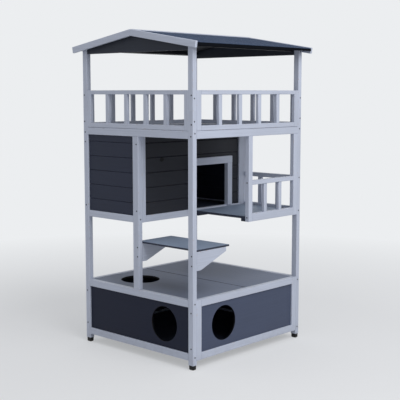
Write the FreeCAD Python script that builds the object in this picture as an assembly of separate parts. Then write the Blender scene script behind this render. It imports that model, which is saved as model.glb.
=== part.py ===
import FreeCAD, Part
import math
import os

from FreeCAD import Vector

# Wooden cat house on four posts: a base box with round doors, an open bay with a step, a boarded
# cabin beside a small balcony, a railed terrace on top and a low gable roof over it.
# Millimetres, +Z up, the gable front faces -Y, the balcony side faces +X.
# The origin lies on the floor under the middle of the house.

# Plan
width = 770.0
depth = 816.0
post_width = 32.0
post_depth = 26.0
timber = 26.0
fit_gap = 0.4

# Feet and posts
foot_height = 22.0
foot_inset = 2.0
foot_chamfer = 3.0
splice_rise = 94.0
middle_post_width = 40.0
dowel_radius = 4.0
dowel_length = 50.0
dowel_clearance = 0.1

# Base box
base_rail_bottom = 43.0
base_low_rail = 34.0
base_top = 332.0
base_high_rail = 34.0
base_stile = 33.0
panel_thickness = 9.0
panel_inset = 8.0
groove_depth = 6.0
groove_gap = 0.3
door_hole_diameter = 170.0
door_hole_height = 190.0
front_hole_from_corner = 199.0
side_hole_from_corner = 224.0
base_floor_thickness = 9.0
base_floor_drop = 12.0

# Deck on the base box
deck_thickness = 12.0
deck_drop = 1.0
deck_hole_diameter = 200.0
deck_hole_from_left = 213.0
deck_hole_from_front = 190.0

# Step in the open bay
step_rise = 238.0
step_thickness = 9.0
step_length = 395.0
step_reach = 229.0
bracket_thickness = 18.0
bracket_height = 90.0
bracket_reach = 205.0
bracket_nose = 20.0
bracket_toe = 26.0

# Cabin
cabin_rise = 331.0
cabin_height = 421.0
cabin_rail = 33.0
cabin_side_stile = 33.0
wall_front_stile = 25.0
wall_rear_stile = 39.0
board_pitch = 73.0
board_thickness = 10.0
board_inset = 8.0
board_lap = 5.0
board_chamfer = 2.5
board_groove = 11.0
floor_thickness = 12.0
floor_drop = 7.0

# Doorway from the cabin to the balcony
doorway_from_back = 166.0
doorway_width = 249.0
doorway_height = 225.0
trim_width = 35.0
trim_head = 38.0
trim_proud = 8.0

# Balcony
hanging_post_width = 24.0
hanging_post_depth = 29.0
balcony_depth = 418.0
balcony_rail = 39.0
balcony_stile = 33.0
handrail_rise = 203.0
handrail_height = 22.0
balcony_balusters = 2

# Terrace
rim_height = 36.0
terrace_floor_thickness = 12.0
terrace_floor_drop = 2.0
terrace_hole_diameter = 200.0
terrace_hole_from_right = 185.0
terrace_hole_from_back = 208.0
railing_thickness = 20.0
railing_low_rail = 24.0
railing_height = 186.0
railing_high_rail = 20.0
railing_front_stile = 25.0
railing_side_stile = 32.0
baluster_width = 24.0
baluster_thickness = 16.0
terrace_balusters = 4

# Roof
roof_headroom = 181.0
gable_thickness = 18.0
eave_rise = 18.0
ridge_rise = 71.0
eave_overhang = 46.0
verge_overhang = 30.0
roof_panel_thickness = 12.0
felt_thickness = 3.0
felt_flap = 15.0
barge_height = 31.0
barge_thickness = 14.0
barge_proud = 3.0
ridge_cap_reach = 20.0
ridge_cap_thickness = 4.0
ridge_beam_height = 30.0

# Bearers and screws
bearer_width = 26.0
screw_head_radius = 3.6
screw_head_height = 2.4
screw_radius = 1.9
screw_point = 5.0
screw_bite = 19.0
screw_clearance = 0.1
base_screw_inset = 25.0
cabin_screw_low = 25.0
cabin_screw_high = 38.0
bracket_screw_low = 25.0
bracket_screw_high = 19.0
rim_screw_offset = 7.0
railing_end_screw_low = 29.0
railing_end_screw_high = 24.0
railing_side_screw_low = 43.0
railing_side_screw_high = 38.0

# Places that follow from the driving sizes
half_width = width / 2
half_depth = depth / 2
front_span = half_width - post_width
side_span = half_depth - post_depth
inner_x = half_width - timber
inner_y = half_depth - timber
floor_y = min(inner_y, side_span)
base_low_top = base_rail_bottom + base_low_rail
base_high_bottom = base_top - base_high_rail
deck_top = base_top - deck_drop
deck_underside = deck_top - deck_thickness
base_floor_top = base_low_top - base_floor_drop
base_floor_underside = base_floor_top - base_floor_thickness
step_top = base_top + step_rise
step_underside = step_top - step_thickness
wall_face = middle_post_width / 2
wall_back = wall_face - timber
cabin_bottom = base_top + cabin_rise
cabin_rail_top = cabin_bottom + cabin_rail
floor_top = cabin_rail_top - floor_drop
floor_underside = floor_top - floor_thickness
hanging_post_front = half_depth - balcony_depth
hanging_post_back = hanging_post_front + hanging_post_depth
balcony_inner_x = half_width - hanging_post_width
balcony_rail_top = cabin_bottom + balcony_rail
balcony_y = min(side_span, half_depth - hanging_post_width)
handrail_top = cabin_bottom + handrail_rise
rim_bottom = cabin_bottom + cabin_height
rim_top = rim_bottom + rim_height
terrace_floor_top = rim_top - terrace_floor_drop
terrace_floor_underside = terrace_floor_top - terrace_floor_thickness
railing_top = rim_top + railing_height
splice_height = rim_top + splice_rise
gable_bottom = railing_top + roof_headroom
eave_underside = gable_bottom + eave_rise
ridge_underside = eave_underside + ridge_rise
eave_x = half_width + eave_overhang
roof_slope = (ridge_underside - eave_underside) / eave_x
slope_stretch = math.hypot(1.0, roof_slope)
roof_end = half_depth + verge_overhang - barge_thickness

nodes = {}


def block(x0, x1, y0, y1, z0, z1):
    """A squared piece of timber between two corners."""
    return Part.makeBox(x1 - x0, y1 - y0, z1 - z0, Vector(x0, y0, z0))


def grown(x0, x1, y0, y1, z0, z1, gap):
    """The same block with room left on every side."""
    return block(x0 - gap, x1 + gap, y0 - gap, y1 + gap, z0 - gap, z1 + gap)


SIDE_TURN = {"front": 0.0, "right": 90.0, "back": 180.0, "left": 270.0}


def on_side(shape, side):
    """Turn a piece that was drawn for the front round to another side of the house."""
    placed = shape.copy()
    placed.rotate(Vector(0, 0, 0), Vector(0, 0, 1), SIDE_TURN[side])
    return placed


def wall_block(side, plane, along0, along1, inset0, inset1, z0, z1):
    """A block in a wall: along the wall, then inwards from its outer plane, then up."""
    return on_side(block(along0, along1, -plane + inset0, -plane + inset1, z0, z1), side)


def wall_pocket(side, plane, along0, along1, inset0, inset1, z0, z1):
    """The groove room that a panel needs in the pieces around it."""
    return on_side(grown(along0, along1, -plane + inset0, -plane + inset1, z0, z1, groove_gap), side)


def prism(points, y0, y1):
    """A piece with a polygon in the XZ plane, run along Y."""
    corners = [Vector(x, y0, z) for x, z in points]
    outline = Part.makePolygon(corners + corners[:1])
    return Part.Face(outline).extrude(Vector(0, y1 - y0, 0))


def mirrored(shape, normal):
    """The same piece on the other side of the house."""
    return shape.mirror(Vector(0, 0, 0), normal)


ACROSS_X = Vector(1, 0, 0)
ACROSS_Y = Vector(0, 1, 0)


def four_corners(shape):
    """Copies of a piece at all four corners: front left, front right, back left, back right."""
    front_right = shape
    front_left = mirrored(shape, ACROSS_X)
    return {
        "front_left": front_left,
        "front_right": front_right,
        "back_left": mirrored(front_left, ACROSS_Y),
        "back_right": mirrored(front_right, ACROSS_Y),
    }


def roof_underside(x):
    """Height of the roof panels' underside at a distance from the ridge."""
    return ridge_underside - roof_slope * abs(x)


# Posts and feet
def make_posts():
    lower = block(front_span, half_width, -half_depth, -side_span, foot_height, splice_height)
    for corner, post in four_corners(lower).items():
        nodes[corner + "_post"] = [post]
    upper = prism(
        [
            (front_span, splice_height),
            (half_width, splice_height),
            (half_width, roof_underside(half_width)),
            (front_span, roof_underside(front_span)),
        ],
        -half_depth,
        -side_span,
    )
    nodes["upper_posts"] = list(four_corners(upper).values())
    foot = block(
        front_span + foot_inset,
        half_width - foot_inset,
        -half_depth + foot_inset,
        -side_span - foot_inset,
        0.0,
        foot_height,
    )
    floor_edges = [edge for edge in foot.Edges if edge.BoundBox.ZMax < foot_height / 2]
    nodes["post_feet"] = list(four_corners(foot.makeChamfer(foot_chamfer, floor_edges)).values())
    nodes["front_middle_post"] = [
        block(-wall_face, wall_face, -half_depth, -side_span, base_top, rim_bottom)
    ]


# Base box with its round doors
def base_panel(side, plane, reach):
    """A plywood panel that stands in grooves in the rails, with the pocket that it needs."""
    low = base_low_top - groove_depth
    high = base_high_bottom + groove_depth
    size = (side, plane, -reach, reach, panel_inset, panel_inset + panel_thickness, low, high)
    return wall_block(*size), wall_pocket(*size)


def door_hole(side, plane, along):
    """A round door cut right through a panel."""
    centre = Vector(along, -plane - timber, door_hole_height)
    return on_side(Part.makeCylinder(door_hole_diameter / 2, 3 * timber, centre, ACROSS_Y), side)


def make_base_ends():
    for side in ("front", "back"):
        panel, pocket = base_panel(side, half_depth, front_span - fit_gap)
        if side == "front":
            panel = panel.cut(door_hole(side, half_depth, half_width - front_hole_from_corner))
        rail_place = (side, half_depth, -front_span, front_span, 0.0, timber)
        low = wall_block(*rail_place, base_rail_bottom, base_low_top)
        high = wall_block(*rail_place, base_high_bottom, base_top)
        nodes["base_" + side + "_bottom_rail"] = [low.cut(pocket)]
        nodes["base_" + side + "_top_rail"] = [high.cut(pocket)]
        nodes["base_" + side + "_panel"] = [panel]


def make_base_sides():
    clear = side_span - base_stile
    for side in ("left", "right"):
        panel, pocket = base_panel(side, half_width, clear + groove_depth)
        if side == "right":
            panel = panel.cut(door_hole(side, half_width, side_hole_from_corner - half_depth))
        members = [
            wall_block(side, half_width, -side_span, -clear, 0.0, timber, base_rail_bottom, base_top),
            wall_block(side, half_width, clear, side_span, 0.0, timber, base_rail_bottom, base_top),
            wall_block(side, half_width, -clear, clear, 0.0, timber, base_rail_bottom, base_low_top),
            wall_block(side, half_width, -clear, clear, 0.0, timber, base_high_bottom, base_top),
        ]
        nodes["base_" + side + "_frame"] = [member.cut(pocket) for member in members]
        nodes["base_" + side + "_panel"] = [panel]


def cross_bearers(underside, bottom):
    """Three bearers across the house under a floor: at the front, in the middle and at the back."""
    starts = (-floor_y, -bearer_width / 2, floor_y - bearer_width)
    return [block(-inner_x, inner_x, y, y + bearer_width, bottom, underside) for y in starts]


def floor_halves(z0, z1):
    """Front and back boards of a floor that meet on the middle line."""
    x_end = inner_x - fit_gap
    y_end = floor_y - fit_gap
    front = block(-x_end, x_end, -y_end, -fit_gap / 2, z0, z1)
    back = block(-x_end, x_end, fit_gap / 2, y_end, z0, z1)
    return front, back


def make_base_floors():
    front, back = floor_halves(deck_underside, deck_top)
    centre = Vector(
        deck_hole_from_left - half_width,
        deck_hole_from_front - half_depth,
        deck_underside - deck_thickness,
    )
    hole = Part.makeCylinder(deck_hole_diameter / 2, 3 * deck_thickness, centre)
    nodes["deck_front_board"] = [front.cut(hole)]
    nodes["deck_back_board"] = [back]
    nodes["base_floor"] = [
        block(
            -inner_x + fit_gap,
            inner_x - fit_gap,
            -floor_y + fit_gap,
            floor_y - fit_gap,
            base_floor_underside,
            base_floor_top,
        )
    ]
    nodes["base_bearers"] = cross_bearers(deck_underside, base_high_bottom)
    nodes["base_bearers"] += cross_bearers(base_floor_underside, base_rail_bottom)


# Step on its two brackets behind the front posts
def bracket(outer_x):
    """A tapered bracket whose outer cheek is at outer_x, screwed to the back of a post."""
    top = step_underside
    low = top - bracket_height
    start = -side_span
    corners = [
        Vector(outer_x, start, top),
        Vector(outer_x, start + bracket_reach, top),
        Vector(outer_x, start + bracket_reach, top - bracket_nose),
        Vector(outer_x, start + bracket_toe, low),
        Vector(outer_x, start, low),
    ]
    outline = Part.makePolygon(corners + corners[:1])
    return Part.Face(outline).extrude(Vector(-bracket_thickness, 0, 0))


def make_step():
    nodes["step_brackets"] = [bracket(wall_face), bracket(half_width)]
    nodes["step_shelf"] = [
        block(
            half_width - step_length,
            half_width,
            -side_span,
            -side_span + step_reach,
            step_underside,
            step_top,
        )
    ]


# Cabin walls of lapped boards
def lapped_board(inset, low):
    """One board's section from its outer face inwards, lapped over the board below it."""
    high = low + board_pitch
    middle = inset + board_thickness / 2
    back = inset + board_thickness
    return [
        (inset, low + board_chamfer),
        (inset + board_chamfer, low),
        (middle, low),
        (middle, low + board_lap),
        (back, low + board_lap),
        (back, high + board_lap),
        (middle + groove_gap, high + board_lap),
        (middle + groove_gap, high),
        (inset + board_chamfer, high),
        (inset, high - board_chamfer),
    ]


def boards(side, plane, along0, along1, low, high):
    """A stack of lapped boards between two heights, with the pocket that it needs."""
    bounds = block(along0, along1, -plane, -plane + timber, low, high)
    pieces = []
    course = 0
    while low + course * board_pitch < high:
        section = lapped_board(board_inset, low + course * board_pitch)
        corners = [Vector(along0, -plane + inset, z) for inset, z in section]
        outline = Part.makePolygon(corners + corners[:1])
        run = Part.Face(outline).extrude(Vector(along1 - along0, 0, 0))
        pieces += run.common(bounds).Solids
        course += 1
    placed = [on_side(piece, side) for piece in pieces]
    pocket = wall_pocket(
        side, plane, along0, along1, board_inset, board_inset + board_thickness, low, high
    )
    return placed, pocket


board_low = cabin_rail_top - board_groove


def make_cabin_front():
    left = -front_span
    right = -wall_face
    stack, pocket = boards(
        "front", half_depth, left + fit_gap, right - fit_gap, board_low, rim_bottom
    )
    rail = wall_block("front", half_depth, left, right, 0.0, timber, cabin_bottom, cabin_rail_top)
    nodes["cabin_front_rail"] = [rail.cut(pocket)]
    nodes["cabin_front_boards"] = stack


def make_cabin_left():
    clear = side_span - cabin_side_stile
    stack, pocket = boards(
        "left", half_width, -clear - groove_depth, clear + groove_depth, board_low, rim_bottom
    )
    members = [
        wall_block("left", half_width, -side_span, -clear, 0.0, timber, cabin_bottom, rim_bottom),
        wall_block("left", half_width, clear, side_span, 0.0, timber, cabin_bottom, rim_bottom),
        wall_block("left", half_width, -clear, clear, 0.0, timber, cabin_bottom, cabin_rail_top),
    ]
    nodes["cabin_left_frame"] = [member.cut(pocket) for member in members]
    nodes["cabin_left_boards"] = stack


def make_cabin_back():
    # Seen from behind, the wall runs from the corner stile on the left to the post on the right.
    stile_end = cabin_side_stile - wall_face
    stack, pocket = boards(
        "back", half_depth, stile_end - groove_depth, front_span - fit_gap, board_low, rim_bottom
    )
    members = [
        wall_block("back", half_depth, -wall_face, stile_end, 0.0, timber, cabin_bottom, rim_bottom),
        wall_block("back", half_depth, stile_end, front_span, 0.0, timber, cabin_bottom, cabin_rail_top),
    ]
    nodes["cabin_back_frame"] = [member.cut(pocket) for member in members]
    nodes["cabin_back_boards"] = stack


def make_cabin_right():
    front_clear = -side_span + wall_front_stile
    rear_clear = inner_y - wall_rear_stile
    stack, pocket = boards(
        "right", wall_face, front_clear - groove_depth, rear_clear + groove_depth, board_low, rim_bottom
    )
    members = [
        wall_block("right", wall_face, -side_span, front_clear, 0.0, timber, cabin_bottom, rim_bottom),
        wall_block("right", wall_face, rear_clear, inner_y, 0.0, timber, cabin_bottom, rim_bottom),
        wall_block("right", wall_face, front_clear, rear_clear, 0.0, timber, cabin_bottom, cabin_rail_top),
    ]
    far = half_depth - doorway_from_back
    near = far - doorway_width
    head_low = cabin_rail_top + doorway_height
    head_high = head_low + trim_head
    trim_depth = (-trim_proud, board_inset + board_thickness)
    nodes["doorway_trim"] = [
        wall_block("right", wall_face, near - trim_width, near, *trim_depth, cabin_rail_top, head_low),
        wall_block("right", wall_face, far, far + trim_width, *trim_depth, cabin_rail_top, head_low),
        wall_block(
            "right", wall_face, near - trim_width, far + trim_width, *trim_depth, head_low, head_high
        ),
    ]
    doorway = wall_block(
        "right",
        wall_face,
        near - trim_width - fit_gap,
        far + trim_width + fit_gap,
        0.0,
        timber,
        cabin_rail_top,
        head_high + fit_gap,
    )
    nodes["cabin_right_frame"] = [member.cut(pocket) for member in members]
    nodes["cabin_right_boards"] = [part for board in stack for part in board.cut(doorway).Solids]


def make_middle_floors():
    nodes["cabin_floor"] = [
        block(
            -inner_x + fit_gap,
            wall_back - fit_gap,
            -floor_y + fit_gap,
            floor_y - fit_gap,
            floor_underside,
            floor_top,
        )
    ]
    nodes["balcony_floor"] = [
        block(
            wall_face + fit_gap,
            balcony_inner_x - fit_gap,
            hanging_post_front,
            balcony_y - fit_gap,
            floor_underside,
            floor_top,
        )
    ]
    cabin_starts = (-inner_x, wall_back - bearer_width)
    balcony_starts = (wall_face, balcony_inner_x - bearer_width)
    nodes["floor_bearers"] = [
        block(x, x + bearer_width, -floor_y, floor_y, cabin_bottom, floor_underside)
        for x in cabin_starts
    ]
    nodes["floor_bearers"] += [
        block(x, x + bearer_width, hanging_post_front, balcony_y, cabin_bottom, floor_underside)
        for x in balcony_starts
    ]


# Railings
def balusters(side, plane, along0, along1, count, rail_depth, z0, z1):
    """Evenly spaced balusters between two uprights, in the middle of the rail's thickness."""
    gap = (along1 - along0 - count * baluster_width) / (count + 1)
    inset = (rail_depth - baluster_thickness) / 2
    pieces = []
    for index in range(count):
        start = along0 + gap + index * (gap + baluster_width)
        pieces.append(
            wall_block(
                side, plane, start, start + baluster_width, inset, inset + baluster_thickness, z0, z1
            )
        )
    return pieces


def rail_pair(side, plane, along0, along1, rail_depth, count, low, low_top, high_low, high):
    """A bottom rail, a top rail and the balusters between them."""
    pieces = [
        wall_block(side, plane, along0, along1, 0.0, rail_depth, low, low_top),
        wall_block(side, plane, along0, along1, 0.0, rail_depth, high_low, high),
    ]
    return pieces + balusters(side, plane, along0, along1, count, rail_depth, low_top, high_low)


def make_balcony():
    nodes["hanging_post"] = [
        block(
            balcony_inner_x, half_width, hanging_post_front, hanging_post_back, cabin_bottom, rim_bottom
        )
    ]
    heights = (cabin_bottom, balcony_rail_top, handrail_top - handrail_height, handrail_top)
    stile_start = side_span - balcony_stile
    stile = wall_block(
        "right", half_width, stile_start, side_span, 0.0, hanging_post_width, cabin_bottom, rim_bottom
    )
    nodes["balcony_side_railing"] = [stile] + rail_pair(
        "right",
        half_width,
        hanging_post_back,
        stile_start,
        hanging_post_width,
        balcony_balusters,
        *heights,
    )
    nodes["balcony_back_railing"] = rail_pair(
        "back",
        half_depth,
        -front_span,
        -wall_face,
        hanging_post_width,
        balcony_balusters,
        *heights,
    )


def make_terrace():
    for side in SIDE_TURN:
        at_end = side in ("front", "back")
        plane = half_depth if at_end else half_width
        span = front_span if at_end else side_span
        stile = railing_front_stile if at_end else railing_side_stile
        nodes["terrace_" + side + "_rim"] = [
            wall_block(side, plane, -span, span, 0.0, timber, rim_bottom, rim_top)
        ]
        clear = span - stile
        stiles = [
            wall_block(side, plane, -span, -clear, 0.0, railing_thickness, rim_top, railing_top),
            wall_block(side, plane, clear, span, 0.0, railing_thickness, rim_top, railing_top),
        ]
        nodes[side + "_railing"] = stiles + rail_pair(
            side,
            plane,
            -clear,
            clear,
            railing_thickness,
            terrace_balusters,
            rim_top,
            rim_top + railing_low_rail,
            railing_top - railing_high_rail,
            railing_top,
        )
    front, back = floor_halves(terrace_floor_underside, terrace_floor_top)
    centre = Vector(
        half_width - terrace_hole_from_right,
        half_depth - terrace_hole_from_back,
        terrace_floor_underside - terrace_floor_thickness,
    )
    hole = Part.makeCylinder(terrace_hole_diameter / 2, 3 * terrace_floor_thickness, centre)
    nodes["terrace_front_floor"] = [front]
    nodes["terrace_back_floor"] = [back.cut(hole)]
    nodes["terrace_bearers"] = cross_bearers(terrace_floor_underside, rim_bottom)


# Roof
def sloping_layer(x0, x1, lift, thickness, y0, y1):
    """A layer on the right-hand slope: lift and thickness are measured square to the slope."""
    low = lift * slope_stretch
    high = (lift + thickness) * slope_stretch
    return prism(
        [
            (x0, roof_underside(x0) + low),
            (x1, roof_underside(x1) + low),
            (x1, roof_underside(x1) + high),
            (x0, roof_underside(x0) + high),
        ],
        y0,
        y1,
    )


def make_roof():
    board_end = eave_x - felt_thickness
    panel = sloping_layer(0.0, board_end, 0.0, roof_panel_thickness, -roof_end, roof_end)
    board_rise = roof_panel_thickness * slope_stretch
    felt_rise = (roof_panel_thickness + felt_thickness) * slope_stretch
    flap_low = roof_underside(eave_x) + felt_rise - felt_flap
    felt = prism(
        [
            (0.0, ridge_underside + board_rise),
            (board_end, roof_underside(board_end) + board_rise),
            (board_end, flap_low),
            (eave_x, flap_low),
            (eave_x, roof_underside(eave_x) + felt_rise),
            (0.0, ridge_underside + felt_rise),
        ],
        -roof_end,
        roof_end,
    )
    nodes["roof_right_panel"] = [panel]
    nodes["roof_left_panel"] = [mirrored(panel, ACROSS_X)]
    nodes["roof_right_felt"] = [felt]
    nodes["roof_left_felt"] = [mirrored(felt, ACROSS_X)]

    roof_top = roof_panel_thickness + felt_thickness
    barge_high = (roof_top + barge_proud) * slope_stretch
    barge_low = barge_high - barge_height * slope_stretch
    square_cut = eave_x - barge_height * roof_slope / slope_stretch
    barge = prism(
        [
            (0.0, ridge_underside + barge_low),
            (square_cut, roof_underside(square_cut) + barge_low),
            (eave_x, roof_underside(eave_x) + barge_high),
            (0.0, ridge_underside + barge_high),
        ],
        -roof_end - barge_thickness,
        -roof_end,
    )
    corner_boards = four_corners(barge)
    nodes["front_barge_boards"] = [corner_boards["front_left"], corner_boards["front_right"]]
    nodes["back_barge_boards"] = [corner_boards["back_left"], corner_boards["back_right"]]

    cap_low = ridge_underside + roof_top * slope_stretch
    cap_drop = roof_slope * ridge_cap_reach
    cap_rise = ridge_cap_thickness * slope_stretch
    nodes["ridge_cap"] = [
        prism(
            [
                (0.0, cap_low),
                (ridge_cap_reach, cap_low - cap_drop),
                (ridge_cap_reach, cap_low - cap_drop + cap_rise),
                (0.0, cap_low + cap_rise),
                (-ridge_cap_reach, cap_low - cap_drop + cap_rise),
                (-ridge_cap_reach, cap_low - cap_drop),
            ],
            -roof_end,
            roof_end,
        )
    ]

    gable_front = -half_depth + (post_depth - gable_thickness) / 2
    gable_back = gable_front + gable_thickness
    gable = prism(
        [
            (-front_span, gable_bottom),
            (front_span, gable_bottom),
            (front_span, roof_underside(front_span)),
            (0.0, ridge_underside),
            (-front_span, roof_underside(front_span)),
        ],
        gable_front,
        gable_back,
    )
    nodes["gable_boards"] = [gable, mirrored(gable, ACROSS_Y)]

    bearer_inner = front_span - bearer_width
    side_bearer = prism(
        [
            (bearer_inner, eave_underside),
            (front_span, eave_underside),
            (front_span, roof_underside(front_span)),
            (bearer_inner, roof_underside(bearer_inner)),
        ],
        gable_back,
        -gable_back,
    )
    beam_reach = bearer_width / 2
    beam_low = ridge_underside - ridge_beam_height
    ridge_beam = prism(
        [
            (-beam_reach, beam_low),
            (beam_reach, beam_low),
            (beam_reach, roof_underside(beam_reach)),
            (0.0, ridge_underside),
            (-beam_reach, roof_underside(beam_reach)),
        ],
        gable_back,
        -gable_back,
    )
    nodes["roof_bearers"] = [side_bearer, mirrored(side_bearer, ACROSS_X), ridge_beam]


# Dowels, screws and the holes that they sit in
def dowel(x, y, z, clearance=0.0):
    """A round peg, half of it above and half below the joint at z."""
    length = dowel_length + 2 * clearance
    return Part.makeCylinder(dowel_radius + clearance, length, Vector(x, y, z - length / 2))


def dowel_places():
    """Where posts stand on each other, on the base and under the rim, as joint centres."""
    x = half_width - post_width / 2
    y = half_depth - post_depth / 2
    places = [(x_sign * x, y_sign * y, splice_height) for x_sign in (-1, 1) for y_sign in (-1, 1)]
    places += [(0.0, -y, base_top), (0.0, -y, rim_bottom)]
    hanging_x = half_width - hanging_post_width / 2
    places.append((hanging_x, hanging_post_front + hanging_post_depth / 2, rim_bottom))
    return places


def screw(x, y, z, through, direction, clearance=0.0):
    """A countersunk screw with its head flush at a face, through one piece and into the next."""
    length = through + screw_bite
    head = screw_head_radius + clearance
    shank = screw_radius + clearance
    end = length + clearance
    neck = length - screw_point
    profile = [(0.0, 0.0), (head, 0.0), (shank, screw_head_height), (shank, neck), (0.0, end)]
    corners = [Vector(radius, 0, height) for radius, height in profile]
    section = Part.Face(Part.makePolygon(corners + corners[:1]))
    body = section.revolve(Vector(0, 0, 0), Vector(0, 0, 1), 360)
    turn = FreeCAD.Rotation(Vector(0, 0, 1), direction)
    body.Placement = FreeCAD.Placement(Vector(x, y, z), turn)
    return body


def end_screw_places():
    """Screws driven along Y: start, thickness of the first piece, and direction."""
    side_centre = half_width - timber / 2
    railing_centre = half_width - railing_thickness / 2
    hanging_centre = half_width - hanging_post_width / 2
    base_heights = (base_low_top + base_screw_inset, base_high_bottom - base_screw_inset)
    cabin_heights = (cabin_rail_top + cabin_screw_low, rim_bottom - cabin_screw_high)
    rim_screw_height = rim_bottom + rim_height / 2 - rim_screw_offset
    railing_heights = (rim_top + railing_end_screw_low, railing_top - railing_end_screw_high)
    bracket_heights = (
        step_underside - bracket_height + bracket_screw_low,
        step_underside - bracket_screw_high,
    )
    places = []
    for y, inward in ((-half_depth, ACROSS_Y), (half_depth, -ACROSS_Y)):
        for x_sign in (-1, 1):
            for z in base_heights + (rim_screw_height,):
                places.append((x_sign * side_centre, y, z, post_depth, inward))
            for z in railing_heights:
                places.append((x_sign * railing_centre, y, z, post_depth, inward))
        for z in cabin_heights:
            places.append((-side_centre, y, z, post_depth, inward))
            places.append((wall_face - timber / 2, y, z, post_depth, inward))
    for z in cabin_heights:
        places.append((hanging_centre, half_depth, z, post_depth, -ACROSS_Y))
    for z in bracket_heights:
        places.append((wall_face - bracket_thickness / 2, -half_depth, z, post_depth, ACROSS_Y))
        places.append((half_width - bracket_thickness / 2, -half_depth, z, post_depth, ACROSS_Y))
    for z in (cabin_bottom + balcony_rail / 2, handrail_top - handrail_height / 2):
        places.append((hanging_centre, hanging_post_front, z, hanging_post_depth, ACROSS_Y))
    return places


def side_screw_places():
    """Screws driven along X: start, thickness of the first piece, and direction."""
    end_centre = half_depth - timber / 2
    railing_centre = half_depth - railing_thickness / 2
    balcony_centre = half_depth - hanging_post_width / 2
    base_heights = (base_rail_bottom + base_low_rail / 2, base_top - base_high_rail / 2)
    rim_screw_height = rim_bottom + rim_height / 2 + rim_screw_offset
    railing_heights = (rim_top + railing_side_screw_low, railing_top - railing_side_screw_high)
    cabin_screw_height = cabin_bottom + cabin_rail / 2
    gable_screw_height = (gable_bottom + roof_underside(front_span)) / 2
    places = []
    for y_sign in (-1, 1):
        for x, inward in ((-half_width, ACROSS_X), (half_width, -ACROSS_X)):
            for z in base_heights + (rim_screw_height, gable_screw_height):
                places.append((x, y_sign * end_centre, z, post_width, inward))
            for z in railing_heights:
                places.append((x, y_sign * railing_centre, z, post_width, inward))
        places.append((-half_width, y_sign * end_centre, cabin_screw_height, post_width, ACROSS_X))
    places.append((wall_face, -end_centre, cabin_screw_height, middle_post_width, -ACROSS_X))
    for z in (cabin_bottom + balcony_rail / 2, handrail_top - handrail_height / 2):
        places.append((half_width, balcony_centre, z, post_width, -ACROSS_X))
    return places


def drilled(solid, holes):
    """A piece with every hole that reaches it."""
    reach = solid.BoundBox
    crossing = [hole for hole in holes if reach.intersect(hole.BoundBox)]
    if not crossing:
        return solid
    return solid.cut(Part.makeCompound(crossing)).Solids[0]


def make_fasteners():
    screw_places = end_screw_places() + side_screw_places()
    holes = [screw(*place, screw_clearance) for place in screw_places]
    holes += [dowel(*place, dowel_clearance) for place in dowel_places()]
    for name, solids in nodes.items():
        nodes[name] = [drilled(solid, holes) for solid in solids]
    nodes["frame_screws"] = [screw(*place) for place in screw_places]
    nodes["post_dowels"] = [dowel(*place) for place in dowel_places()]


make_posts()
make_base_ends()
make_base_sides()
make_base_floors()
make_step()
make_cabin_front()
make_cabin_left()
make_cabin_back()
make_cabin_right()
make_middle_floors()
make_balcony()
make_terrace()
make_roof()
make_fasteners()

os.makedirs("parts", exist_ok=True)
for node, pieces in nodes.items():
    shape = pieces[0] if len(pieces) == 1 else Part.makeCompound(pieces)
    shape.exportStep("parts/" + node + ".step")
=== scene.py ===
import math
import random

import bmesh
import bpy
import numpy as np
from mathutils import Matrix, Vector, noise


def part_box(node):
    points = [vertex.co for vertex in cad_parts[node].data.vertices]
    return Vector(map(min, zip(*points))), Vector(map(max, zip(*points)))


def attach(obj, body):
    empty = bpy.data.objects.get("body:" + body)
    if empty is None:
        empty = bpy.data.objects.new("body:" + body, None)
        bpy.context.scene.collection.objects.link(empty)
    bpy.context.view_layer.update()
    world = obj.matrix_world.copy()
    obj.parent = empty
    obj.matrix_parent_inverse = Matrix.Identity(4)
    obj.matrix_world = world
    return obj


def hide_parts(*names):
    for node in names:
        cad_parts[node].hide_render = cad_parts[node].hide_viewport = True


# Wooden cat house: a base box with round doors, an open bay with a step, a boarded cabin beside a
# small balcony, a railed terrace and a low felted roof. Metres, +Z up, the gable front faces -Y.
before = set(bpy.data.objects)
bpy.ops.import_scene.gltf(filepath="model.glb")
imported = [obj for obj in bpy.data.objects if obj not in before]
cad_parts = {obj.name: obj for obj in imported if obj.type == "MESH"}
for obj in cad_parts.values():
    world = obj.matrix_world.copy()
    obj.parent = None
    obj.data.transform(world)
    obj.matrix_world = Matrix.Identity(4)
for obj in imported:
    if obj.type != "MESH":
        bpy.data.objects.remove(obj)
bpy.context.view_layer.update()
scene = bpy.context.scene
draws = random.Random(41)


# Corner posts: planed softwood of 32 by 26 mm in a lower and an upper length, pegged end to end
# behind the terrace railing. The upper ones are cut to the slope of the roof. The long edges are
# rounded over, the sawn ends only broken, before the pale grey paint is sprayed on.
post_ease = 0.0028
sawn_end_ease = 0.0005
edge_steps = 4
round_profile = 0.5
sharp_angle = math.radians(30.0)
flat_angle = math.radians(1.0)
along_run = 0.99
arris_width = 0.0019
grain_spread = 40.0
roof_rise = 0.071
roof_reach = 0.431
roof_slope = roof_rise / roof_reach
left_and_right = (-1.0, 1.0)


def stick(low, high):
    """Corners of a squared stick between two opposite corners."""
    xs, ys, zs = zip(low, high)
    return [(x, y, z) for x in xs for y in ys for z in zs]


def run_along_y(outline, start, end):
    """Corners of a stick whose outline lies in the XZ plane and which runs along Y."""
    return [(x, y, z) for y in (start, end) for x, z in outline]


def down_slope(ridge, reach):
    """The height of a line that falls with the roof, at some reach from the ridge."""
    return ridge - roof_slope * reach


def sharp_edges(draft):
    """The edges of a mesh in the making that are not yet rounded."""
    return [edge for edge in draft.edges if edge.calc_face_angle(0.0) > sharp_angle]


def ease_edges(draft, edges, radius):
    """Rounds some edges of a mesh in the making."""
    rounding = {"segments": edge_steps, "profile": round_profile, "affect": "EDGES"}
    bmesh.ops.bevel(draft, geom=edges, offset=radius, clamp_overlap=True, **rounding)


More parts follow.
